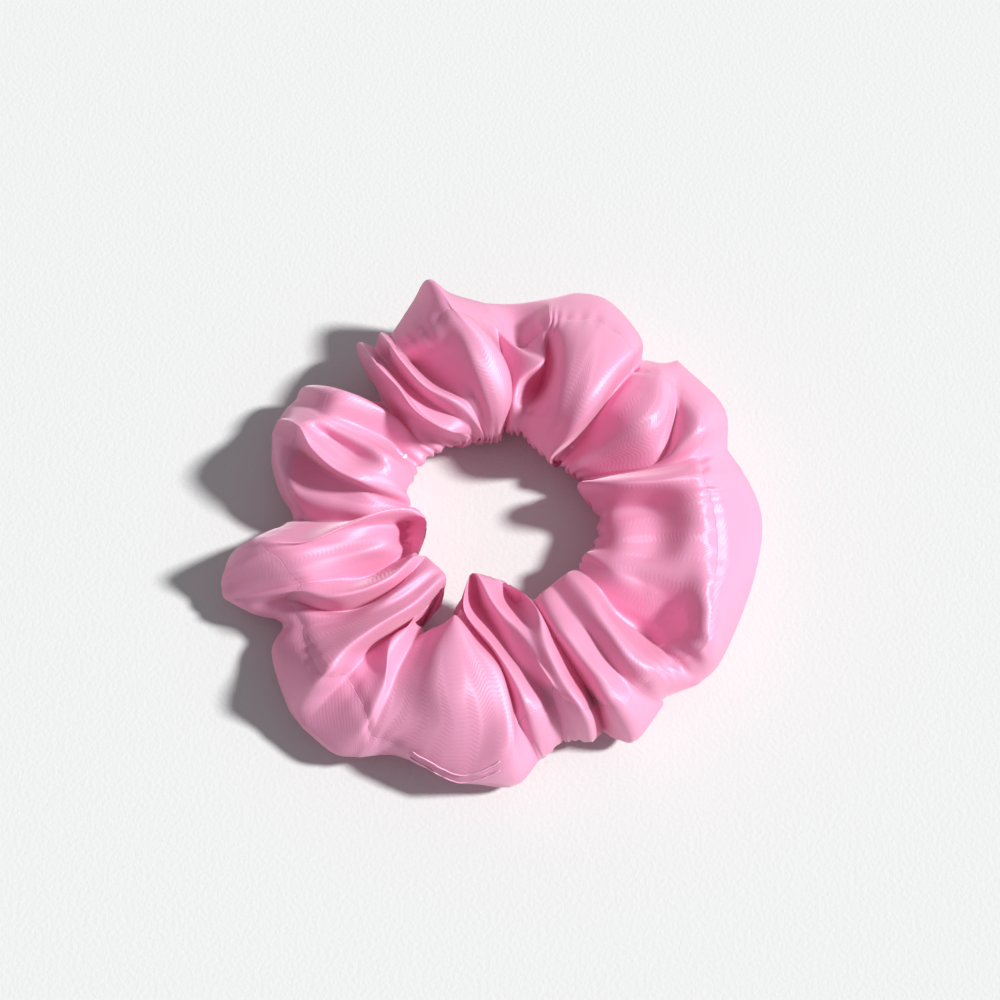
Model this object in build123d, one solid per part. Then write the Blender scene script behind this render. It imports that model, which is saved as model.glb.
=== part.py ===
"""A fabric hair scrunchie at rest: a gathered satin tube over a braided elastic loop, with its sewing threads.

Units are millimetres. +Z is up, the scrunchie lies on the plane z = 0 and -Y is the side that is pulled. The
satin tube and its long seam are one strip and one seam on the real object. They are held here as a far half
and a near half, a hair apart at the two sides, so that the loop can be stretched open.
"""

import os
from math import asin, ceil, copysign, cos, degrees, pi, radians, sin

from build123d import *

# ---- Driving dimensions -------------------------------------------------------------------------------------
HAIR_OPENING_R = 19.0  # relaxed radius of the opening
WALL = 1.0  # gathered satin, as thick as its small pleats make it
GAP = 0.3  # between the far and the near half, at each side
FOOT_DEPTH = 0.5  # how much of each gather is pressed flat by the table

ELASTIC_WIDTH = 5.0
ELASTIC_THICK = 0.9
ELASTIC_CLEAR = 0.75  # from the inside of the tube to the elastic
ELASTIC_MID_Z = 9.9
ELASTIC_LAP = 14.0  # how far the elastic's two ends lie over each other
LAP_GAP = 0.06  # between the two layers of the lap
RUBBER_CORDS = 6
RUBBER_CORD_D = 0.5
CORD_CLEAR = 0.01  # round each rubber cord, in the braid

ALLOWANCE = 6.0  # the seam allowance, turned inwards at the outer rim
ALLOWANCE_THICK = 0.8
THREAD_D = 0.3
STITCH = 2.5  # length of one lockstitch
STITCH_GAP = 0.3  # between two stitches of the elastic's zigzag, where the thread dives through
ZIGZAG_STITCHES = 6
ZIGZAG_EDGE = 1.0  # from the elastic's edge to the zigzag's points
ZIGZAG_END = 4.0  # degrees from the lap's ends to the zigzag's ends
ZIGZAG_CLEAR = 0.02  # between the zigzag and the braid
THREAD_CLEAR = 0.1  # between a thread and the cloth it lies on
SEAM_INSET = 2.8  # from the inside of the rim to the seam line

END_SEAM_AT = 297.0  # azimuth of the seam that joins the strip's two ends
END_SEAM_INSET = 4.0  # from the tube's outside to that seam's thread
END_SEAM_POINTS = 16
CLOSING_FROM, CLOSING_TO = 255.0, 278.0  # the topstitched gap that the tube was turned out through
CLOSING_SPREAD = 1.0  # how far above and below the rim's middle the topstitching runs
CLOSING_STAND = 0.5  # from the tube's outside to the middle of the topstitching thread

# Each gather of the tube: (azimuth in degrees, outer radius, crest height).
GATHERS = [
    (6, 54.5, 26),
    (29, 55.0, 23),
    (68, 57.0, 27),
    (107, 54.0, 28),
    (125, 50.5, 25),
    (155, 50.5, 27),
    (194, 57.5, 26),
    (237, 56.0, 24),
    (268, 53.8, 22),
    (300, 50.5, 24),
    (332, 55.0, 24),
]
# The valley that follows each gather: (azimuth, outer radius, height).
VALLEYS = [
    (17, 51.0, 17),
    (47, 48.0, 17),
    (90, 50.5, 17),
    (117, 46.0, 17),
    (139, 40.5, 17),
    (179, 45.0, 18),
    (208, 49.0, 17),
    (253, 50.0, 17),
    (285, 43.8, 17),
    (314, 46.5, 17),
    (348, 52.0, 17),
]

SECTION_STEP = 5.0  # degrees between cross-sections
SECTION_POINTS = 18
SQUARENESS = 2.5  # exponent of the cross-section's superellipse
LIFT = 2.2  # how far the valleys' undersides stand off the table

INNER_R = HAIR_OPENING_R - 0.5  # trimmed to the opening's round wall
ELASTIC_IN_R = HAIR_OPENING_R + WALL + ELASTIC_CLEAR
ELASTIC_MID_R = ELASTIC_IN_R + ELASTIC_THICK / 2
LAP_STEP = ELASTIC_THICK + LAP_GAP
FAR_START, NEAR_START = 0.0, 180.0


# ---- The tube's shape ---------------------------------------------------------------------------------------
def knots():
    """Crests and valleys in order of azimuth: (azimuth, outer radius, height, underside)."""
    crests = [(a, r, h, -FOOT_DEPTH) for a, r, h in GATHERS]
    valleys = [(a, r, h, LIFT) for a, r, h in VALLEYS]
    return sorted(crests + valleys)


def profile(azimuth):
    """(outer radius, top, underside) of the tube at an azimuth, eased from knot to knot."""
    azimuth %= 360
    line = knots()
    ring = [(line[-1][0] - 360, *line[-1][1:]), *line, (line[0][0] + 360, *line[0][1:])]
    for before, after in zip(ring, ring[1:]):
        if before[0] <= azimuth <= after[0]:
            share = (azimuth - before[0]) / (after[0] - before[0])
            ease = (1 - cos(pi * share)) / 2
            return tuple(b + (a - b) * ease for b, a in zip(before[1:], after[1:]))
    raise ValueError(azimuth)


def on_ring(radius, azimuth, z):
    return Vector(radius * cos(radians(azimuth)), radius * sin(radians(azimuth)), z)


def bend(value):
    """Squares off a sine or cosine, for a superellipse."""
    return copysign(abs(value) ** (2 / SQUARENESS), value)


def section(azimuth, inset, facing):
    """The tube's closed cross-section at an azimuth, inset from its outer surface and turned back by facing."""
    outer, top, under = profile(azimuth)
    half_r, half_z = (outer - INNER_R) / 2, (top - under) / 2
    mid_r, mid_z = (outer + INNER_R) / 2, (top + under) / 2
    points = []
    for k in range(SECTION_POINTS):
        turn = 2 * pi * k / SECTION_POINTS
        radius = mid_r + (half_r - inset) * bend(cos(turn))
        points.append(on_ring(radius, azimuth - facing, mid_z + (half_z - inset) * bend(sin(turn))))
    return Wire([Edge.make_spline(points, periodic=True)])


def pieces_of_half(start):
    """Azimuth ranges of one half's gathers, from valley to valley. The outer two stop at the split."""
    margin = degrees(asin(GAP / 2 / HAIR_OPENING_R))
    first, last = start + margin, start + 180 - margin
    inside = [a for a, r, h in VALLEYS if first + 1 < a < last - 1]
    edges = [first, *inside, last]
    return list(zip(edges, edges[1:]))


def steps(first, last):
    """Azimuths from first to last, at most one section step apart."""
    count = ceil((last - first) / SECTION_STEP)
    return [first + (last - first) * k / count for k in range(count + 1)]


def tube_solid(azimuths, inset, facing):
    return Solid.make_loft([section(a, inset, facing) for a in azimuths])


def rim(azimuth):
    """(radius, height) of the inside of the tube's outer rim."""
    outer, top, under = profile(azimuth)
    return outer - WALL, (top + under) / 2


def bar_solid(azimuths, facing, inner, outer, low, high):
    """A flat-sided bar along the rim. Its limits are measured from the inside of the rim, outwards and upwards."""
    wires = []
    for a in azimuths:
        radius, z = rim(a)
        corners = [
            on_ring(radius + inner, a - facing, z + low),
            on_ring(radius + outer, a - facing, z + low),
            on_ring(radius + outer, a - facing, z + high),
            on_ring(radius + inner, a - facing, z + high),
        ]
        wires.append(Wire.make_polygon(corners, close=True))
    return Solid.make_loft(wires)


def allowance_solid(azimuths, facing):
    """The two raw edges of the strip, turned inwards behind the long seam."""
    half = ALLOWANCE_THICK / 2
    return bar_solid(azimuths, facing, -ALLOWANCE, WALL / 2, -half, half)


def gather(first, last):
    """One gather of the tube: a hollow shell with its stretch of seam allowance inside."""
    azimuths = steps(first, last)
    facing = (first + last) / 2
    room = tube_solid(azimuths, WALL, facing) - allowance_solid(azimuths, facing)
    shell = tube_solid(azimuths, 0, facing) - room
    return Rot(0, 0, facing) * shell


def satin_half(start):
    """One half of the gathered tube, trimmed to the round opening and pressed flat by the table."""
    gathers = [gather(first, last) for first, last in pieces_of_half(start)]
    tube = gathers[0].fuse(*gathers[1:])
    opening = Cylinder(HAIR_OPENING_R, 80)
    table = Pos(0, 0, -10) * Box(160, 160, 20)
    return tube - opening - table


# ---- Threads ------------------------------------------------------------------------------------------------
def stitch(start, end):
    """One straight run of thread."""
    run = end - start
    return Solid.make_cylinder(THREAD_D / 2, run.length, Plane(origin=start, z_dir=run))


def row_of_stitches(points):
    """Stitches from point to point, each a little short at both ends."""
    stitches = []
    for a, b in zip(points, points[1:]):
        back = (b - a).normalized() * (STITCH_GAP / 2)
        stitches.append(stitch(a + back, b - back))
    return Compound(children=stitches)


def thread_along(points):
    """One continuous thread through the points."""
    path = Spline(*points)
    start = Plane(origin=path.position_at(0), z_dir=path.tangent_at(0))
    return sweep(start * Circle(THREAD_D / 2), path=path).solid()


def long_seam_thread(start, side):
    """The long seam's thread on the upper (1) or the lower (-1) face of the allowance, in one half of the tube."""
    near = side * (ALLOWANCE_THICK / 2 + THREAD_CLEAR)
    far = near + side * THREAD_D
    low, high = min(near, far), max(near, far)
    runs = []
    for first, last in pieces_of_half(start):
        facing = (first + last) / 2
        bar = bar_solid(steps(first, last), facing, -SEAM_INSET - THREAD_D, -SEAM_INSET, low, high)
        runs.append(Rot(0, 0, facing) * bar)
    return runs[0].fuse(*runs[1:])


def closing_thread(side):
    """The topstitching that closes the turning gap, just outside the rim, on its upper (1) or lower (-1) side."""
    count = round(radians(CLOSING_TO - CLOSING_FROM) * profile(CLOSING_FROM)[0] / STITCH)
    points = []
    for k in range(count + 1):
        a = CLOSING_FROM + (CLOSING_TO - CLOSING_FROM) * k / count
        outer, top, under = profile(a)
        points.append(on_ring(outer + CLOSING_STAND, a, (top + under) / 2 + side * CLOSING_SPREAD))
    return thread_along(points)


def end_seam_thread(side):
    """The seam across the tube that joins the strip's two ends, just inside the cloth. side is the seam's face."""
    outer, top, under = profile(END_SEAM_AT)
    half_r, half_z = (outer - INNER_R) / 2 - END_SEAM_INSET, (top - under) / 2 - END_SEAM_INSET
    mid_r, mid_z = (outer + INNER_R) / 2, (top + under) / 2
    azimuth = END_SEAM_AT + side * degrees(THREAD_D / mid_r)
    # The round is left open at the rim, where the long seam's allowance passes.
    turns = [pi * (0.25 + 1.5 * k / END_SEAM_POINTS) for k in range(END_SEAM_POINTS + 1)]
    return thread_along([on_ring(mid_r + half_r * cos(t), azimuth, mid_z + half_z * sin(t)) for t in turns])


# ---- The elastic --------------------------------------------------------------------------------------------
LAP_ANGLE = degrees(ELASTIC_LAP / ELASTIC_MID_R)
STEP_ANGLE = 10.0  # the turn over which the upper end climbs onto the lower one
LAP_MID = 90.0  # azimuth of the middle of the lap, at the far side


def elastic_path(z, radius_shift=0.0):
    """The middle line of the elastic, from its lower end once round the loop and up onto the lap."""
    low_start = LAP_MID - LAP_ANGLE / 2
    climb_start = low_start + 360 - STEP_ANGLE
    low_r = ELASTIC_MID_R + radius_shift
    high_r = low_r + LAP_STEP
    points = lambda r, a: on_ring(r, a, z)
    round_part = ThreePointArc(
        points(low_r, low_start),
        points(low_r, (low_start + climb_start) / 2),
        points(low_r, climb_start),
    )
    tangent = lambda a: Vector(-sin(radians(a)), cos(radians(a)), 0)
    climb = Spline(
        points(low_r, climb_start),
        points(high_r, climb_start + STEP_ANGLE),
        tangents=[tangent(climb_start), tangent(climb_start + STEP_ANGLE)],
    )
    lap = ThreePointArc(
        points(high_r, climb_start + STEP_ANGLE),
        points(high_r, climb_start + STEP_ANGLE + LAP_ANGLE / 2),
        points(high_r, climb_start + STEP_ANGLE + LAP_ANGLE),
    )
    return Wire([round_part.edge(), climb.edge(), lap.edge()])


def swept(path, profile_face):
    start = path.position_at(0)
    plane = Plane(origin=start, z_dir=path.tangent_at(0), x_dir=(0, 0, 1))
    return sweep(plane * profile_face, path=path)


def rubber_cord_heights():
    pitch = ELASTIC_WIDTH / RUBBER_CORDS
    return [ELASTIC_MID_Z + pitch * (k - (RUBBER_CORDS - 1) / 2) for k in range(RUBBER_CORDS)]


def rubber_cords():
    cords = [swept(elastic_path(z), Circle(RUBBER_CORD_D / 2)) for z in rubber_cord_heights()]
    return Compound(children=[c.solid() for c in cords])


def elastic_braid():
    """The flat braided sleeve, with a channel for each rubber cord."""
    strip = swept(elastic_path(ELASTIC_MID_Z), Rectangle(ELASTIC_WIDTH, ELASTIC_THICK))
    for z in rubber_cord_heights():
        strip = strip - swept(elastic_path(z), Circle(RUBBER_CORD_D / 2 + CORD_CLEAR))
    return strip


def join_threads(face):
    """The zigzag that sews the lap, on its inner (-1) or outer (+1) face."""
    half_width, half_angle = ELASTIC_WIDTH / 2 - ZIGZAG_EDGE, LAP_ANGLE / 2 - ZIGZAG_END
    inner_face = ELASTIC_MID_R - ELASTIC_THICK / 2
    outer_face = inner_face + LAP_STEP + ELASTIC_THICK
    radius = (inner_face if face < 0 else outer_face) + face * (THREAD_D / 2 + ZIGZAG_CLEAR)
    points = []
    for k in range(ZIGZAG_STITCHES + 1):
        azimuth = LAP_MID - half_angle + 2 * half_angle * k / ZIGZAG_STITCHES
        points.append(on_ring(radius, azimuth, ELASTIC_MID_Z + half_width * (-1) ** k))
    return row_of_stitches(points)


# ---- Write --------------------------------------------------------------------------------------------------
def build():
    return {
        "satin_cover_far": satin_half(FAR_START),
        "satin_cover_near": satin_half(NEAR_START),
        "long_seam_needle_thread_far": long_seam_thread(FAR_START, 1),
        "long_seam_bobbin_thread_far": long_seam_thread(FAR_START, -1),
        "long_seam_needle_thread_near": long_seam_thread(NEAR_START, 1),
        "long_seam_bobbin_thread_near": long_seam_thread(NEAR_START, -1),
        "end_seam_needle_thread": end_seam_thread(1),
        "end_seam_bobbin_thread": end_seam_thread(-1),
        "closing_needle_thread": closing_thread(1),
        "closing_bobbin_thread": closing_thread(-1),
        "elastic_braid": elastic_braid(),
        "elastic_rubber_cords": rubber_cords(),
        "elastic_join_needle_thread": join_threads(1),
        "elastic_join_bobbin_thread": join_threads(-1),
    }


def centring_shift(nodes):
    """Moves the middle of the cover's bounding box to the origin, seen from above."""
    boxes = [nodes[name].bounding_box() for name in ("satin_cover_far", "satin_cover_near")]
    mid_x = (min(b.min.X for b in boxes) + max(b.max.X for b in boxes)) / 2
    mid_y = (min(b.min.Y for b in boxes) + max(b.max.Y for b in boxes)) / 2
    print("centre of the opening:", round(-mid_x, 3), round(-mid_y, 3))
    return Pos(-mid_x, -mid_y, 0)


def main():
    os.makedirs("parts", exist_ok=True)
    nodes = build()
    shift = centring_shift(nodes)
    for name, shape in nodes.items():
        export_step(shift * shape, f"parts/{name}.step")


main()
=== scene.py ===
import math

import bpy
import numpy as np
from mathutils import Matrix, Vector


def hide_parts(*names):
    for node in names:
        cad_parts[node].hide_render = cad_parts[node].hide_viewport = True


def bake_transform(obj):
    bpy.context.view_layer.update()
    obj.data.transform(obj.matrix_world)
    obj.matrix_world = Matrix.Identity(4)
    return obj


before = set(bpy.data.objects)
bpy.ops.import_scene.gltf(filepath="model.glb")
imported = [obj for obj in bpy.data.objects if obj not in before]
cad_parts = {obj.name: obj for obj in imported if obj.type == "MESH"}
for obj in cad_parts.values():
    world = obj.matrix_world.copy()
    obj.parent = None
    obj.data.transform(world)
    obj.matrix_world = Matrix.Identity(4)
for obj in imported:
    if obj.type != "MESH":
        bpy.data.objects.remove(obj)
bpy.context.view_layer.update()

MM = 0.001
ELEVATION = 67.0
MID_Z = 14.0
SIGHT_SLOPE = 1 / math.tan(math.radians(ELEVATION))

# Ring and section resolution of the cover.
RING, ROUND = 860, 104
SEAM_STATION = 4
STATIONS_MEASURED = slice(6, 10)
FINE = 12
CREASE = 1.15
LEAST_SPACING = 0.5

# Where the long seam is gathered tightly: (azimuth, amount).
PUCKERED = [(0, 1), (13, 1), (24, 0.2), (60, 0.4), (74, 0.8), (82, 0.8), (92, 0.1), (104, 0.7), (116, 0.7),
            (128, 0.2), (196, 0.2), (208, 0.7), (240, 0.7), (248, 0.2), (300, 0.2), (322, 1)]
PUCKER_PITCH, PUCKER_HEIGHT, PUCKER_REACH = 3.4, 0.34, 3.4
SEAM_SINK, SEAM_WIDTH = 0.65, 1.5
SEAM_EDGE = 0.2
ALLOWANCE_ROWS = (3.0, 6.0)
# The elastic's fine gathers: how many round the ring, how deep, and where they fade out.
GATHERS, GATHER_DEPTH = 100, 1.1
GATHER_TOP, GATHER_FADE = 12.0, 6.0
GATHER_REACH, GATHER_REACH_FADE = 50.0, 10.0
ALLOWANCE_APART = 0.25
UV_PER_MM = 0.01
TWILL_PITCH, TWILL_SLANT = 0.8, 58.0
WAVE_PERIOD = math.pi / 10
GRAIN = 0.28
FLOOR_GRAIN = 1100.0

THREAD_R = 0.15
STITCH = 2.5
STITCH_RISE = 0.14
CLOSING = (611.0, 632.0)
END_SEAM_AZIMUTH = 297.0
END_SEAM_DEPTH = 1.2

ELASTIC_WIDTH, ELASTIC_THICK = 5.0, 0.9
ELASTIC_Z = 7.5
BEHIND_WALL = 3.6
WALL_LEAST = 19.5
LAP, LAP_CLIMB, LAP_MID = 38.0, 10.0, 90.0
LAP_STEP = 0.96
RUBBER_CORDS, RUBBER_CORD_R = 6, 0.25

# The folds' lines, counter-clockwise. Six stations each, from the inner rim over the top and the seam
# to the outer rim: (azimuth in degrees, radius, height), in millimetres. Azimuth and radius are where
# the viewer sees the point cross the cover's mid height.
FOLDS = [
    ("N", (324, 18.5, 14), (320.5, 25, 21), (317, 32, 23),
     (315, 39, 23.5), (315.5, 46, 20.5), (313, 51.5, 9)),
    ("R valley", (330, 20, 10), (327.5, 25, 14), (322, 32, 10.5),
     (321.5, 40, 8.5), (321, 47.5, 14), (320, 54.5, 8)),
    ("R side", (337, 20, 11), (335, 27, 17), (333, 35, 15),
     (331, 42, 13), (329, 50, 19), (327, 55.5, 8)),
    ("Q low", (341, 20, 12), (341, 25, 17), (342, 32, 18),
     (342, 40, 19), (342, 47, 20.5), (341, 55, 8)),
    ("Q", (345, 21, 9), (348, 26, 16.5), (350, 34, 16.5),
     (352, 40, 20), (352, 46.5, 18.5), (352, 55.5, 9)),
    ("O", (353, 21.5, 8), (357, 26, 15), (360, 34, 15),
     (360, 41, 20), (360, 46, 18.5), (360, 56, 9)),
    ("O high", (366, 21.5, 8), (367, 25, 13), (368, 33, 15.5),
     (367, 41, 20.5), (368, 45.5, 19), (366, 55.5, 9)),
    ("P", (386, 20, 14), (380, 27, 22), (376, 35, 24), (375, 41, 24), (374, 45, 22), (373, 54, 8)),
    ("P valley", (387, 21, 8), (384, 27, 12), (381, 35, 16),
     (380, 41, 18), (380, 46, 17), (379, 52.5, 8)),
    ("Y", (388, 21, 8), (384.5, 27, 12), (382, 36, 17),
     (385, 43, 22), (388, 50, 22), (389, 56, 10)),
    ("X valley", (390, 21, 8), (386, 27, 13), (382, 37, 17),
     (391, 44, 18), (399, 50, 17), (404, 55, 9)),
    ("W", (398, 20, 10), (398, 27, 16), (396, 37, 24), (398, 44, 24), (404, 49, 20), (406, 52, 9)),
    ("W side", (405, 20, 8), (406, 27, 12), (406, 35, 20),
     (407, 42, 21), (408, 47, 18), (409, 50.5, 8)),
    ("S valley", (409, 20, 8), (408, 27, 12), (409, 34, 17),
     (410, 41, 18), (410, 46, 15), (410, 50, 7)),
    ("S edge", (412, 19.5, 13), (411, 26, 22), (412, 34, 27),
     (414, 43, 27), (414, 50, 22), (414, 54, 9)),
    ("S", (418, 20, 13), (419, 27, 23), (421, 36, 28), (423, 45, 27), (424, 52, 20), (424, 58, 10)),
    ("S side", (426, 20.5, 12), (426, 27, 21), (428, 35, 24),
     (430, 43, 24), (431, 50, 20), (431, 57.5, 10)),
    ("T valley", (434, 22, 10), (435, 27, 17), (432, 34, 9),
     (434, 41, 15), (436, 49, 19), (437, 54.5, 10)),
    ("U", (441, 22, 11), (442, 27, 18), (440, 33, 20),
     (435, 38.5, 21.5), (442, 42, 13), (445, 52, 9)),
    ("V valley", (444, 22, 8), (444, 28, 12), (446, 34, 13),
     (448, 41, 14), (450, 47, 16), (452, 52, 9)),
    ("A edge", (446, 22, 15), (442.5, 28, 21), (445, 35, 24),
     (451, 42, 26), (458, 49, 26), (460, 54, 19)),
    ("A", (449.5, 22, 16), (451.5, 28, 23), (455.5, 36, 27.5),
     (458, 43, 28), (461, 50, 27.5), (464, 58, 22)),
    ("A side", (453, 21.5, 15), (457, 29, 22), (463, 34.5, 21),
     (465, 40, 21.5), (467, 46.5, 24), (468.5, 54.5, 16)),
    ("A valley", (456, 21.5, 14), (461, 28, 20.5), (470, 34, 16),
     (474, 39, 14.5), (476.5, 45.5, 17), (476.5, 49.5, 9)),
    ("B", (457, 21.3, 15), (465, 28, 22), (474, 34, 24),
     (477, 41, 25), (478, 47, 23.5), (479, 50.5, 12)),
    ("B valley", (460, 21.1, 13), (466, 24.5, 18), (475, 30, 18),
     (479.5, 37, 18.5), (480.5, 44, 18), (481, 49, 10)),
    ("C pocket", (463, 20.8, 12.5), (473, 22.8, 18.5), (480.5, 29, 20),
     (481.3, 37, 20), (481.8, 45, 16), (482, 48.5, 9)),
    ("C", (466, 20.5, 13), (477, 24.5, 20), (482.5, 30.5, 22.5),
     (482.8, 37, 23), (484, 44, 22.5), (484, 51, 11)),
    ("C side", (474, 20.3, 9), (483, 27, 15), (487.5, 34, 16.5),
     (487, 40, 17), (486.5, 45, 15), (486, 50, 8)),
    ("D notch", (485, 20.5, 9), (489, 25, 12), (490, 29, 13),
     (490, 32, 12.5), (490, 34.5, 10), (490, 37, 7)),
    ("D edge", (490, 20.5, 9), (492, 25, 12), (490.5, 31, 16),
     (493.5, 38, 20), (497, 45, 21), (501, 50.5, 10)),
    ("D valley", (500, 20.5, 9), (500.5, 25, 10), (499, 29, 12.5),
     (502, 37, 18), (505, 44, 19), (506, 51, 10)),
    ("D inner", (508, 20, 12), (504.5, 26.5, 20), (505.5, 33, 20),
     (507, 39, 20), (507, 45, 20), (509, 51.5, 10)),
    ("D side", (516, 20, 14), (512, 26, 20.5), (512, 33, 18),
     (510.5, 40, 18.5), (510, 46, 21.5), (512, 51.5, 10)),
    ("D", (521.5, 18.5, 14), (520, 28, 22), (519, 34.3, 23.5),
     (515.7, 40.6, 24.5), (511.5, 46, 24), (513, 51.5, 11)),
    ("D pocket", (527, 18, 12.5), (524, 26, 18), (522, 33, 17),
     (519.5, 40, 14.5), (517, 46, 14.5), (516, 51.5, 9)),
    ("D panel", (533, 18, 11), (534, 25, 16), (532, 33, 16),
     (530, 40, 15), (526.5, 45, 14.5), (526, 48, 8)),
    ("E valley", (536, 17, 11), (538, 25, 14), (539, 32, 12),
     (539, 37, 10), (538.5, 40, 8.5), (539, 42.5, 6)),
    ("E", (527.5, 16.5, 15), (531.5, 22.5, 20.5), (540, 30, 22.5),
     (545, 38, 22.5), (543.5, 47, 21), (546, 53.5, 10)),
    ("E ring", (534, 14.1, 15.5), (535, 19, 16.5), (541, 29, 20.5),
     (546, 37.5, 21.5), (547, 46.5, 21), (550.5, 56.5, 10)),
    ("E hollow", (543.5, 13.7, 15.5), (540, 18.3, 9), (544, 24, 17.5),
     (548, 33, 19.5), (550, 44, 19.5), (552.5, 57.3, 9)),
    ("E facet", (553, 14.4, 15.5), (551, 18.7, 8.5), (552, 22.8, 18),
     (553, 32, 19), (554, 43, 18.5), (554, 57.5, 8)),
    ("E hollow low", (561, 16, 15), (560, 18.8, 10), (558.5, 23.5, 15),
     (558, 32, 17), (557, 42, 17.5), (556, 57.5, 8)),
    ("E notch", (562.5, 16.8, 14), (563.5, 22.6, 12.5), (564.5, 29, 12.5),
     (561, 34, 15.5), (558.5, 41.5, 17), (557.5, 56.5, 8)),
    ("F", (563.5, 17, 15.5), (568.4, 23.3, 20), (568, 30.4, 21),
     (565, 36.7, 21), (560, 43, 18), (559, 55, 9)),
    ("F valley", (567, 15.5, 13), (575, 24, 15.5), (573.6, 34, 12.5),
     (568, 40.3, 12), (561, 45.5, 12.5), (561, 53.5, 9)),
    ("F back", (576, 14.8, 15), (577, 23.6, 20), (576, 29.5, 18.5),
     (574, 37, 15), (569, 45, 12), (567, 49, 7)),
    ("G side", (584, 14.6, 15), (582, 22.5, 19), (579.5, 30, 19.5),
     (576, 38, 16.5), (573, 46, 13.5), (572, 53.5, 7)),
    ("G", (591.5, 15.5, 15), (588, 23.5, 21.5), (584, 32, 22.5),
     (582.6, 39.7, 22.5), (583.5, 47, 21), (583, 57, 9)),
    ("G valley", (594.5, 20, 8), (594, 26, 9.5), (590.3, 31, 11),
     (588, 36, 13), (588.5, 44, 15.5), (589, 58, 9)),
    ("H", (592.3, 26, 12), (592.3, 28.5, 17), (591, 33, 19),
     (596, 39, 19), (598, 48, 16.5), (597, 58.8, 8)),
    ("H valley", (599, 27.5, 8), (598, 30.5, 14), (599, 37, 17),
     (601, 44, 17), (602, 52, 13), (602, 57.5, 7)),
    ("I low", (604.5, 24.5, 12), (604, 29, 19), (606, 37, 20),
     (609, 44.5, 17), (607, 51.5, 12), (608, 54.5, 6)),
    ("I mid", (608, 21.5, 16), (608, 28, 22), (612, 36, 22.5),
     (617, 44, 18.5), (615, 53.3, 11.5), (616, 54.6, 6)),
    ("I", (608.5, 21.3, 16.5), (615, 26, 22.5), (622, 35, 23),
     (625.5, 45, 17.8), (624, 55.3, 11), (624, 56.3, 6)),
    ("I edge", (610.5, 21, 14), (622, 26, 20.5), (631.5, 31.5, 21.5),
     (634, 39, 20.5), (634, 50, 16), (634, 57, 6)),
    ("J valley", (611, 19.5, 9), (624, 24.5, 14), (632, 29.5, 15.5),
     (635.5, 37, 16), (637, 43, 15), (640, 52, 7)),
    ("J", (607, 12.5, 15), (612.5, 19.5, 18), (629.5, 26, 20),
     (637, 33, 20.5), (640.5, 41, 18.5), (642, 51, 8)),
    ("J pocket", (611, 12.5, 13), (622, 18.3, 10), (635.8, 27.4, 14.5),
     (641.5, 33, 16.5), (647, 41, 15.5), (646.5, 49, 8)),
    ("J edge", (609.5, 11.5, 16.5), (630, 17, 19), (638.5, 22, 18.5),
     (645, 29, 19.5), (648.5, 37, 20.5), (647.5, 49, 9)),
    ("K hollow", (637, 12.8, 12), (644, 17.5, 10.5), (647, 24.5, 19.5),
     (648.5, 32, 21), (650.5, 40, 21), (650, 49.5, 9)),
    ("K", (650, 16, 15), (655.5, 20, 19.5), (653.5, 26.5, 21.5),
     (653.5, 34, 22), (655, 43.5, 20.5), (653, 51, 9)),
    ("seam valley", (655.5, 18.5, 13), (656, 25, 17), (657.2, 31, 16),
     (657.7, 38, 12), (657.5, 45, 8), (656, 51, 5)),
    ("M edge", (658, 18.5, 14), (658.5, 25, 20), (659.3, 31, 20.5),
     (660, 38, 20), (659.8, 45, 18.5), (658.5, 53.5, 6)),
    ("M", (664, 18, 14.5), (663, 25, 21), (663, 33, 22),
     (663.5, 40, 22), (663.5, 47, 19.5), (662, 55, 8)),
    ("N valley", (671, 18, 13), (669.5, 25, 19), (669, 32, 20),
     (668, 39, 20), (668.5, 46, 17), (671, 52.5, 8)),
]


def seen(azimuth, radius, height):
    a = math.radians(azimuth)
    drop = (height - MID_Z) * SIGHT_SLOPE
    return np.array([radius * math.cos(a), radius * math.sin(a) - drop, height])


def polar(point):
    return math.degrees(math.atan2(point[1], point[0])), math.hypot(point[0], point[1])


def full_section(top, lift):
    """A line's top stations and its underside, all as points, starting at the long seam."""
    a_in, r_in = polar(top[0])
    a_out, r_out = polar(top[-1])
    turn = (a_out - a_in + 180) % 360 - 180

    def at(share, radius, z):
        a = math.radians(a_in + turn * share)
        return np.array([radius * math.cos(a), radius * math.sin(a), z])

    under = [
        at(1.0, r_out - 3.0, 2.5 + lift / 2),
        at(0.7, 0.6 * r_out + 0.4 * r_in, 0.8 + lift),
        at(0.3, max(r_in, 19) + 6, 0.8 + lift),
        at(0.0, max(r_in, 19) + 1.6, 4.5),
    ]
    return np.array([*top[SEAM_STATION:], *under, *top[:SEAM_STATION]])


def hermite(p, q, leave, arrive, f):
    """From p to q, leaving and arriving with the given tangents."""
    h = 2 * f**3 - 3 * f**2
    return p * (1 + h) + leave * (f**3 - 2 * f**2 + f) - q * h + arrive * (f**3 - f**2)


def is_crease(name):
    return any(word in name for word in ("valley", "pocket", "notch"))


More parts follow.
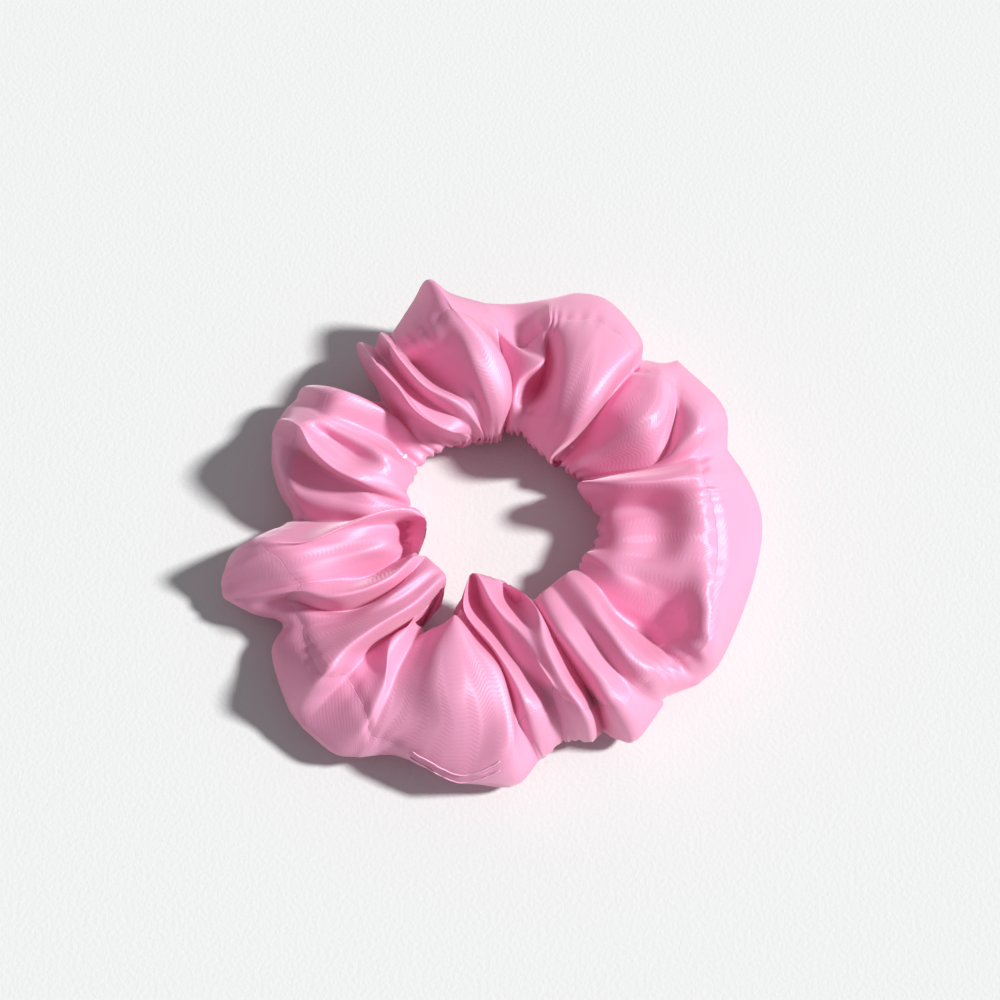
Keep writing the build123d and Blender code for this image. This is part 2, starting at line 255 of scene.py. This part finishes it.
def fold_surface(ring, around):
    """The cover's surface as a grid of points. Each section runs from the long seam round to it."""
    lines = np.array([full_section([seen(*p) for p in top], 2.0 * is_crease(name)) for name, *top in FOLDS])
    after, before = np.roll(lines, -1, axis=0), np.roll(lines, 1, axis=0)
    crease = np.array([is_crease(name) for name, *_ in FOLDS])[:, None, None]
    # A crease turns sharply: it keeps each side's own slope. A crest is rounded.
    leave = np.where(crease, CREASE * (after - lines), (after - before) / 2)
    arrive = np.where(crease, CREASE * (lines - before), (after - before) / 2)
    n = len(lines)
    apart = after[:, STATIONS_MEASURED] - lines[:, STATIONS_MEASURED]
    length = np.linalg.norm(apart, axis=2).mean(axis=1) + LEAST_SPACING
    ends = np.concatenate([[0], np.cumsum(length)])
    u = np.arange(ring) * ends[-1] / ring
    k = np.searchsorted(ends, u, side="right") - 1
    f = ((u - ends[k]) / length[k])[:, None, None]
    rows = hermite(lines[k], after[k], leave[k], arrive[(k + 1) % n], f)
    return along_section(rows, around)


def along_section(rows, around):
    """A smooth line through each column's stations, closed at the seam, at even steps of length."""
    n = rows.shape[1]
    t = np.arange(n * FINE + 1) / FINE
    k = t.astype(int)
    f = (t - k)[None, :, None]
    prev, here, there, later = (rows[:, (k + d) % n] for d in (-1, 0, 1, 2))
    dense = hermite(here, there, (there - prev) / 2, (later - here) / 2, f)
    step = np.linalg.norm(np.diff(dense, axis=1), axis=2)
    out = np.empty((rows.shape[0], around, 3))
    for i in range(rows.shape[0]):
        ends = np.concatenate([[0], np.cumsum(step[i])])
        want = np.array([0, *np.linspace(SEAM_EDGE, ends[-1] - SEAM_EDGE, around - 2), ends[-1]])
        for c in range(3):
            out[i, :, c] = np.interp(want, ends, dense[i, :, c])
    return out


def normals(points):
    """Outward normals of a surface grid that is closed along its first axis."""
    along = np.roll(points, -1, axis=0) - np.roll(points, 1, axis=0)
    across = np.gradient(points, axis=1)
    n = np.cross(across, along)
    return n / np.maximum(np.linalg.norm(n, axis=2, keepdims=True), 1e-9)


def cloth_lengths(points):
    """Lengths in the cloth, in mm: round the ring at each row, and across the strip at each point."""
    step = np.linalg.norm(np.roll(points, -1, axis=0) - points, axis=2).mean(axis=1)
    round_ring = np.concatenate([[0], np.cumsum(step)])[:-1]
    across = np.cumsum(np.linalg.norm(np.diff(points, axis=1, prepend=points[:, :1]), axis=2), axis=1)
    return round_ring, across


def pucker(points):
    """Gathers the cloth finely on both sides of the long seam, and draws the seam itself in."""
    round_ring, across = cloth_lengths(points)
    from_seam = np.minimum(across, across[:, -1:] - across)
    azimuth = np.degrees(np.arctan2(points[:, 0, 1], points[:, 0, 0])) % 360
    amount = np.interp(azimuth, *np.array(PUCKERED).T, period=360)[:, None]
    u = round_ring[:, None]
    wave = np.sin(u * 2 * np.pi / PUCKER_PITCH + 1.9 * np.sin(u / 6.1) + 0.9 * np.sin(u / 2.3))
    strength = 0.55 + 0.45 * np.sin(u / 9.7 + 1.0) * np.sin(u / 4.3)
    ripple = PUCKER_HEIGHT * amount * wave * strength * np.exp(-((from_seam / PUCKER_REACH) ** 2))
    sink = SEAM_SINK * (0.15 + 0.85 * amount) * np.exp(-((from_seam / SEAM_WIDTH) ** 2))
    return points + normals(points) * (ripple - sink)[:, :, None]


def gather(points):
    """Draws the cloth in finely where the elastic bunches it: low on the inner wall, and on the underside."""
    radius = np.hypot(points[..., 0], points[..., 1])
    low = np.clip((GATHER_TOP - points[..., 2]) / GATHER_FADE, 0, 1)
    near = np.clip((GATHER_REACH - radius) / GATHER_REACH_FADE, 0, 1)
    turn = np.arange(len(points)) * 2 * np.pi / len(points)
    wave = (1 - np.cos(GATHERS * turn + 1.5 * np.sin(7 * turn))) / 2
    return points - normals(points) * (GATHER_DEPTH * low * near * wave[:, None])[:, :, None]


def with_allowances(points):
    """Adds the strip's two raw edges, turned in behind the seam."""
    middle = points[:, :-1].mean(axis=1)
    inward = middle - (points[:, 0] + points[:, -1]) / 2
    inward /= np.linalg.norm(inward, axis=1, keepdims=True)
    apart = points[:, 1] - points[:, -2]
    apart /= np.linalg.norm(apart, axis=1, keepdims=True)
    first = [points[:, 0] + inward * d + apart * ALLOWANCE_APART for d in ALLOWANCE_ROWS]
    last = [points[:, -1] + inward * d - apart * ALLOWANCE_APART for d in ALLOWANCE_ROWS]
    rows = [*reversed(first), *points.transpose(1, 0, 2), *last]
    return np.array(rows).transpose(1, 0, 2)


def grid_mesh(name, grid):
    """A strip of faces, closed round the ring and open along both edges, with its cloth lengths as UVs."""
    ring, around = grid.shape[:2]
    verts = (grid.reshape(-1, 3) * MM).tolist()
    faces = []
    for i in range(ring):
        here, there = i * around, ((i + 1) % ring) * around
        faces += [(here + j, there + j, there + j + 1, here + j + 1) for j in range(around - 1)]
    mesh = bpy.data.meshes.new(name)
    mesh.from_pydata(verts, [], faces)
    round_ring, across = cloth_lengths(grid)
    total = round_ring[-1] + round_ring[1]
    u = np.append(round_ring, total)
    layer = mesh.uv_layers.new(name="cloth")
    uv = np.empty((len(faces), 4, 2))
    i, j = np.divmod(np.arange(len(faces)), around - 1)
    for corner, (di, dj) in enumerate(((0, 0), (1, 0), (1, 1), (0, 1))):
        uv[:, corner, 0] = u[i + di] * UV_PER_MM
        uv[:, corner, 1] = across[(i + di) % ring, j + dj] * UV_PER_MM
    layer.data.foreach_set("uv", uv.ravel())
    obj = bpy.data.objects.new(name, mesh)
    bpy.context.scene.collection.objects.link(obj)
    mesh.shade_smooth()
    return obj


def tube(path, up, radius=THREAD_R, sides=8):
    """Vertices and faces of a round thread along a path. up is roughly square to the path at each point."""
    path, up = np.asarray(path, float), np.asarray(up, float)
    along = np.gradient(path, axis=0)
    side = np.cross(along, up)
    side /= np.linalg.norm(side, axis=1, keepdims=True)
    lift = np.cross(side, along)
    lift /= np.linalg.norm(lift, axis=1, keepdims=True)
    turn = np.arange(sides) * 2 * np.pi / sides
    ends = np.ones(len(path))
    ends[[0, -1]] = 0.35
    ring = side[:, None] * np.cos(turn)[:, None] + lift[:, None] * np.sin(turn)[:, None]
    verts = (path[:, None] + ring * radius * ends[:, None, None]).reshape(-1, 3)
    return verts, strip_faces(len(path), sides)


def strip_faces(length, sides):
    """Faces of a tube of rings, with a cap at both ends."""
    faces = [tuple(range(sides))[::-1], tuple(range((length - 1) * sides, length * sides))]
    for i in range(length - 1):
        for j in range(sides):
            k = (j + 1) % sides
            faces.append((i * sides + j, i * sides + k, (i + 1) * sides + k, (i + 1) * sides + j))
    return faces


def mesh_of(name, pieces):
    """One smooth mesh object from several (vertices, faces) in millimetres."""
    verts, faces = [], []
    for v, f in pieces:
        faces += [tuple(len(verts) + i for i in face) for face in f]
        verts += [tuple(p) for p in np.asarray(v) * MM]
    mesh = bpy.data.meshes.new(name)
    mesh.from_pydata(verts, [], faces)
    mesh.shade_smooth()
    obj = bpy.data.objects.new(name, mesh)
    bpy.context.scene.collection.objects.link(obj)
    return obj


def resample(points, step):
    """A line's points at even steps, and how far along it each one is."""
    ends = np.concatenate([[0], np.cumsum(np.linalg.norm(np.diff(points, axis=0), axis=1))])
    at = np.linspace(0, ends[-1], max(4, round(ends[-1] / step)))
    return np.stack([np.interp(at, ends, points[:, c]) for c in range(3)], axis=1), at


def stitched(points, up, base):
    """A row of lockstitches along a line: the thread rises from the cloth and dips back each stitch."""
    line, at = resample(points, STITCH / 8)
    ups = np.stack([np.interp(at, np.linspace(0, at[-1], len(up)), up[:, c]) for c in range(3)], axis=1)
    ups /= np.linalg.norm(ups, axis=1, keepdims=True)
    rise = base + STITCH_RISE * np.abs(np.sin(np.pi * at / STITCH)) ** 0.5
    return tube(line + ups * rise[:, None], ups)


def long_seam_threads(surface):
    """The needle thread above the turned-in allowances, and the bobbin thread below them."""
    edge = len(ALLOWANCE_ROWS)
    top, low = surface[:, edge], surface[:, -1 - edge]
    line = (0.3 * top + 0.7 * surface[:, edge - 1] + 0.3 * low + 0.7 * surface[:, -edge]) / 2
    apart = surface[:, edge - 1] - surface[:, -edge]
    apart /= np.linalg.norm(apart, axis=1, keepdims=True)
    line, apart = (np.concatenate([x, x[:1]]) for x in (line, apart))
    return stitched(line, apart, ALLOWANCE_APART), stitched(line, -apart, ALLOWANCE_APART)


def end_seam_threads(surface):
    """The seam across the tube, just under the cloth: one thread on each side of its two layers."""
    edge = len(ALLOWANCE_ROWS)
    outside = surface[:, edge:-edge]
    azimuth = np.degrees(np.arctan2(outside[:, 60, 1], outside[:, 60, 0])) % 360
    row = int(np.argmin(np.abs(azimuth - END_SEAM_AZIMUTH)))
    under = (outside - normals(outside) * END_SEAM_DEPTH)[row, 6:-6]
    for _ in range(3):
        under = np.array([under[0], *((under[:-2] + under[1:-1] + under[2:]) / 3), under[-1]])
    ring = outside[(row + 1) % len(outside), 6:-6] - outside[row, 6:-6]
    ring /= np.linalg.norm(ring, axis=1, keepdims=True)
    return stitched(under, ring, 0.1), stitched(under, -ring, 0.1)


def closing_threads(surface):
    """Topstitching over the gap that the tube was turned out through, at the cover's outer edge."""
    edge = len(ALLOWANCE_ROWS)
    outside = surface[:, edge:-edge]
    out = normals(outside)
    azimuth = np.degrees(np.arctan2(outside[:, 0, 1], outside[:, 0, 0])) % 360 + 360
    rows = np.flatnonzero((azimuth > CLOSING[0]) & (azimuth < CLOSING[1]))
    threads = []
    for column in (2, -3):
        line, up = outside[rows, column], out[rows, column]
        threads.append(stitched(line, up, 0.0))
    return threads


def elastic_line(count, z=0.0, shift=0.0):
    """The elastic's middle line, once round and up onto the lap, just behind the inner wall."""
    walls = [polar(seen(*top[0])) for _, *top in FOLDS]
    marks = np.arange(0, 360, 10)
    near = [max([WALL_LEAST] + [r for a, r in walls if abs((a - b + 180) % 360 - 180) <= 14]) for b in marks]
    smooth = (np.roll(near, 1) + 2 * np.array(near) + np.roll(near, -1)) / 4 + BEHIND_WALL
    turn = np.linspace(LAP_MID - LAP / 2, LAP_MID + LAP / 2 + 360, count)
    radius = np.interp(turn % 360, np.append(marks, 360), np.append(smooth, smooth[0]))
    climb = np.clip((turn - (LAP_MID - LAP / 2 + 360 - LAP_CLIMB)) / LAP_CLIMB, 0, 1)
    radius += LAP_STEP * climb * climb * (3 - 2 * climb) + shift
    a = np.radians(turn)
    line = np.stack([radius * np.cos(a), radius * np.sin(a), np.full(count, ELASTIC_Z + z)], axis=1)
    out = np.stack([np.cos(a), np.sin(a), 0 * a], axis=1)
    return line, out


def elastic_braid():
    """A flat sleeve with a rib over each rubber cord, and a scalloped plait along each rib."""
    count, sides = 720, 48
    line, out = elastic_line(count)
    turn = np.arange(sides) * 2 * np.pi / sides
    z = np.sign(np.cos(turn)) * np.abs(np.cos(turn)) ** 0.7 * ELASTIC_WIDTH / 2
    depth = np.sign(np.sin(turn)) * np.abs(np.sin(turn)) ** 0.35 * ELASTIC_THICK / 2
    rib = 0.86 + 0.14 * np.cos(2 * np.pi * RUBBER_CORDS * z / ELASTIC_WIDTH + np.pi)
    plait = 0.03 * np.cos(np.arange(count)[:, None] * 1.1 + 9 * z[None, :])
    across = depth * rib + plait * np.sign(depth)
    verts = line[:, None] + out[:, None] * across[:, :, None] + np.array([0, 0, 1.0]) * z[None, :, None]
    return mesh_of("elastic_sleeve", [(verts.reshape(-1, 3), strip_faces(count, sides))])


def rubber_cords():
    pitch = ELASTIC_WIDTH / RUBBER_CORDS
    heights = [pitch * (k - (RUBBER_CORDS - 1) / 2) for k in range(RUBBER_CORDS)]
    cords = []
    for z in heights:
        line, out = elastic_line(240, z)
        cords.append(tube(line, out, RUBBER_CORD_R))
    return mesh_of("rubber_cords", cords)


def join_zigzag(face):
    """The zigzag that sews the lap together, on its inner (-1) or outer (1) face."""
    line, out = elastic_line(720)
    on_lap = slice(6, round(720 * (LAP - 6) / (360 + LAP)))
    line, out = line[on_lap], out[on_lap]
    depth = ELASTIC_THICK / 2 + (LAP_STEP if face > 0 else 0)
    stitches = 6
    marks = np.linspace(0, len(line) - 1, stitches + 1).round().astype(int)
    points = [line[m] + (0, 0, (ELASTIC_WIDTH / 2 - 1) * (-1) ** k) for k, m in enumerate(marks)]
    pieces = []
    for k in range(stitches):
        share = np.linspace(0, 1, 9)[:, None]
        path = points[k] * (1 - share) + points[k + 1] * share
        up = out[marks[k]] * (1 - share) + out[marks[k + 1]] * share
        path = path + face * up * (depth + STITCH_RISE * np.sin(np.pi * share) ** 0.5)
        pieces.append(tube(path, up))
    return pieces


def camera():
    data = bpy.data.cameras.new("camera")
    data.lens = 85
    data.sensor_width = 36
    cam = bpy.data.objects.new("camera", data)
    bpy.context.scene.collection.objects.link(cam)
    distance = 0.214 * 85 / 36
    e = math.radians(ELEVATION)
    target = Vector((1.4, 11.4, 0)) * MM
    back = Vector((0, -math.cos(e), math.sin(e)))
    cam.location = target + back * distance
    cam.rotation_euler = (math.radians(90 - ELEVATION), 0, 0)
    data.clip_start = 0.01
    bpy.context.scene.camera = cam


def node(tree, kind, links=(), **values):
    """A shader node with input values by name, joined to other nodes' outputs."""
    n = tree.nodes.new(kind)
    for key, value in values.items():
        setattr(n, key, value)
    for socket, source in links:
        tree.links.new(source, n.inputs[socket])
    return n


def satin():
    m = bpy.data.materials.new("satin")
    m.use_nodes = True
    tree = m.node_tree
    b = tree.nodes["Principled BSDF"]
    b.inputs["Roughness"].default_value = 0.5
    b.inputs["Specular IOR Level"].default_value = 0.9
    b.inputs["Metallic"].default_value = 0.1
    b.inputs["Specular Tint"].default_value = (1.0, 0.86, 0.93, 1)
    b.inputs["Anisotropic"].default_value = 0.7
    b.inputs["Sheen Weight"].default_value = 0.6
    b.inputs["Sheen Roughness"].default_value = 0.35
    b.inputs["Sheen Tint"].default_value = (1.0, 0.85, 0.93, 1)
    uv = node(tree, "ShaderNodeUVMap", uv_map="cloth")
    tangent = node(tree, "ShaderNodeTangent", direction_type="UV_MAP", uv_map="cloth")
    tree.links.new(tangent.outputs[0], b.inputs["Tangent"])

    # Twill lines of the weave run at a slant. Faint slubs and creases vary the colour between them.
    slant = node(tree, "ShaderNodeMapping", [("Vector", uv.outputs[0])])
    slant.inputs["Rotation"].default_value = (0, 0, math.radians(TWILL_SLANT))
    lines = node(tree, "ShaderNodeTexWave", [("Vector", slant.outputs[0])],
                 wave_type="BANDS", bands_direction="X")
    lines.inputs["Scale"].default_value = WAVE_PERIOD / (TWILL_PITCH * UV_PER_MM)
    lines.inputs["Distortion"].default_value = 0.5
    lines.inputs["Detail Scale"].default_value = 2.0
    weave = node(tree, "ShaderNodeTexNoise", [("Vector", uv.outputs[0])])
    weave.inputs["Scale"].default_value = 1 / (GRAIN * UV_PER_MM)
    weave.inputs["Detail"].default_value = 2.0
    patches = node(tree, "ShaderNodeTexNoise", [("Vector", uv.outputs[0])])
    patches.inputs["Scale"].default_value = 1 / (14.0 * UV_PER_MM)

    shade = node(tree, "ShaderNodeMix", [("Factor", weave.outputs["Fac"])], data_type="RGBA")
    shade.inputs["A"].default_value = (0.88, 0.32, 0.53, 1)
    shade.inputs["B"].default_value = (1.0, 0.52, 0.73, 1)
    vary = node(tree, "ShaderNodeMix", [("Factor", patches.outputs["Fac"])], data_type="RGBA")
    vary.inputs["B"].default_value = (0.98, 0.47, 0.69, 1)
    tree.links.new(shade.outputs["Result"], vary.inputs["A"])
    tree.links.new(vary.outputs["Result"], b.inputs["Base Color"])

    relief = node(tree, "ShaderNodeMath", [(0, lines.outputs["Fac"]), (1, weave.outputs["Fac"])],
                  operation="ADD")
    bump = node(tree, "ShaderNodeBump", [("Height", relief.outputs[0])])
    bump.inputs["Strength"].default_value = 0.18
    bump.inputs["Distance"].default_value = 0.0001
    tree.links.new(bump.outputs[0], b.inputs["Normal"])

    t = node(tree, "ShaderNodeBsdfTranslucent")
    t.inputs["Color"].default_value = (1.0, 0.42, 0.62, 1)
    mix = node(tree, "ShaderNodeMixShader", [(1, b.outputs[0]), (2, t.outputs[0])])
    mix.inputs[0].default_value = 0.28
    tree.links.new(mix.outputs[0], tree.nodes["Material Output"].inputs["Surface"])
    return m


def studio():
    floor = bpy.data.meshes.new("floor")
    floor.from_pydata([(-1, -1, 0), (1, -1, 0), (1, 1, 0), (-1, 1, 0)], [], [(0, 1, 2, 3)])
    obj = bpy.data.objects.new("floor", floor)
    bpy.context.scene.collection.objects.link(obj)
    m = bpy.data.materials.new("floor")
    m.use_nodes = True
    m.node_tree.nodes["Principled BSDF"].inputs["Base Color"].default_value = (0.66, 0.67, 0.66, 1)
    m.node_tree.nodes["Principled BSDF"].inputs["Roughness"].default_value = 0.9
    place = node(m.node_tree, "ShaderNodeTexCoord")
    grain = node(m.node_tree, "ShaderNodeTexNoise", [("Vector", place.outputs["Object"])])
    grain.inputs["Scale"].default_value = FLOOR_GRAIN
    relief = node(m.node_tree, "ShaderNodeBump", [("Height", grain.outputs["Fac"])])
    relief.inputs["Strength"].default_value = 0.25
    relief.inputs["Distance"].default_value = 0.0003
    m.node_tree.links.new(relief.outputs[0], m.node_tree.nodes["Principled BSDF"].inputs["Normal"])
    floor.materials.append(m)
    sun = bpy.data.lights.new("sun", "SUN")
    sun.energy = 4.8
    sun.angle = math.radians(7)
    s = bpy.data.objects.new("sun", sun)
    bpy.context.scene.collection.objects.link(s)
    s.rotation_euler = (0, math.radians(46), 0)
    world = bpy.data.worlds.new("world")
    bpy.context.scene.world = world
    world.use_nodes = True
    world.node_tree.nodes["Background"].inputs["Color"].default_value = (0.95, 0.95, 1, 1)
    world.node_tree.nodes["Background"].inputs["Strength"].default_value = 0.28
    bpy.context.scene.view_settings.view_transform = "Standard"


def simple(name, color, roughness, bump_scale, bump):
    """A matt material with a fine grain, for threads and the elastic."""
    m = bpy.data.materials.new(name)
    m.use_nodes = True
    tree = m.node_tree
    b = tree.nodes["Principled BSDF"]
    b.inputs["Roughness"].default_value = roughness
    b.inputs["Sheen Weight"].default_value = 0.2
    place = node(tree, "ShaderNodeTexCoord")
    noise = node(tree, "ShaderNodeTexNoise", [("Vector", place.outputs["Object"])])
    noise.inputs["Scale"].default_value = bump_scale
    shade = node(tree, "ShaderNodeMix", [("Factor", noise.outputs["Fac"])], data_type="RGBA")
    shade.inputs["A"].default_value = (*(0.85 * c for c in color), 1)
    shade.inputs["B"].default_value = (*color, 1)
    tree.links.new(shade.outputs["Result"], b.inputs["Base Color"])
    relief = node(tree, "ShaderNodeBump", [("Height", noise.outputs["Fac"])])
    relief.inputs["Strength"].default_value = bump
    relief.inputs["Distance"].default_value = 0.0001
    tree.links.new(relief.outputs[0], b.inputs["Normal"])
    return m


def finish_piece(obj, material, slot, *nodes):
    """Gives a piece its material, hides the matching parts from model.glb, and bakes its transform into the
    mesh.
    """
    obj.data.materials.append(material)
    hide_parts(*nodes)
    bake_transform(obj)


camera()
surface = with_allowances(pucker(gather(fold_surface(RING, ROUND))))
cover = grid_mesh("satin_cover", surface)
finish_piece(cover, satin(), "satin", "satin_cover_far", "satin_cover_near")

thread_look = simple("thread", (0.92, 0.50, 0.70), 0.5, 9000, 0.4)
for name, thread in zip(("needle", "bobbin"), long_seam_threads(surface)):
    nodes = [f"long_seam_{name}_thread_{side}" for side in ("far", "near")]
    finish_piece(mesh_of(f"long_seam_{name}_stitches", [thread]), thread_look, "thread", *nodes)
for name, thread in zip(("needle", "bobbin"), end_seam_threads(surface)):
    piece = mesh_of(f"end_seam_{name}_stitches", [thread])
    finish_piece(piece, thread_look, "thread", f"end_seam_{name}_thread")
for name, thread in zip(("needle", "bobbin"), closing_threads(surface)):
    piece = mesh_of(f"closing_{name}_stitches", [thread])
    finish_piece(piece, thread_look, "thread", f"closing_{name}_thread")

braid_look = simple("braid", (0.86, 0.85, 0.82), 0.8, 5000, 0.8)
finish_piece(elastic_braid(), braid_look, "braid", "elastic_braid")
latex_look = simple("latex", (0.78, 0.70, 0.55), 0.6, 800, 0.1)
finish_piece(rubber_cords(), latex_look, "latex", "elastic_rubber_cords")
join_look = simple("join_thread", (0.90, 0.90, 0.88), 0.6, 9000, 0.4)
for name, face in (("bobbin", -1), ("needle", 1)):
    piece = mesh_of(f"elastic_join_{name}_zigzag", join_zigzag(face))
    finish_piece(piece, join_look, "join_thread", f"elastic_join_{name}_thread")

studio()
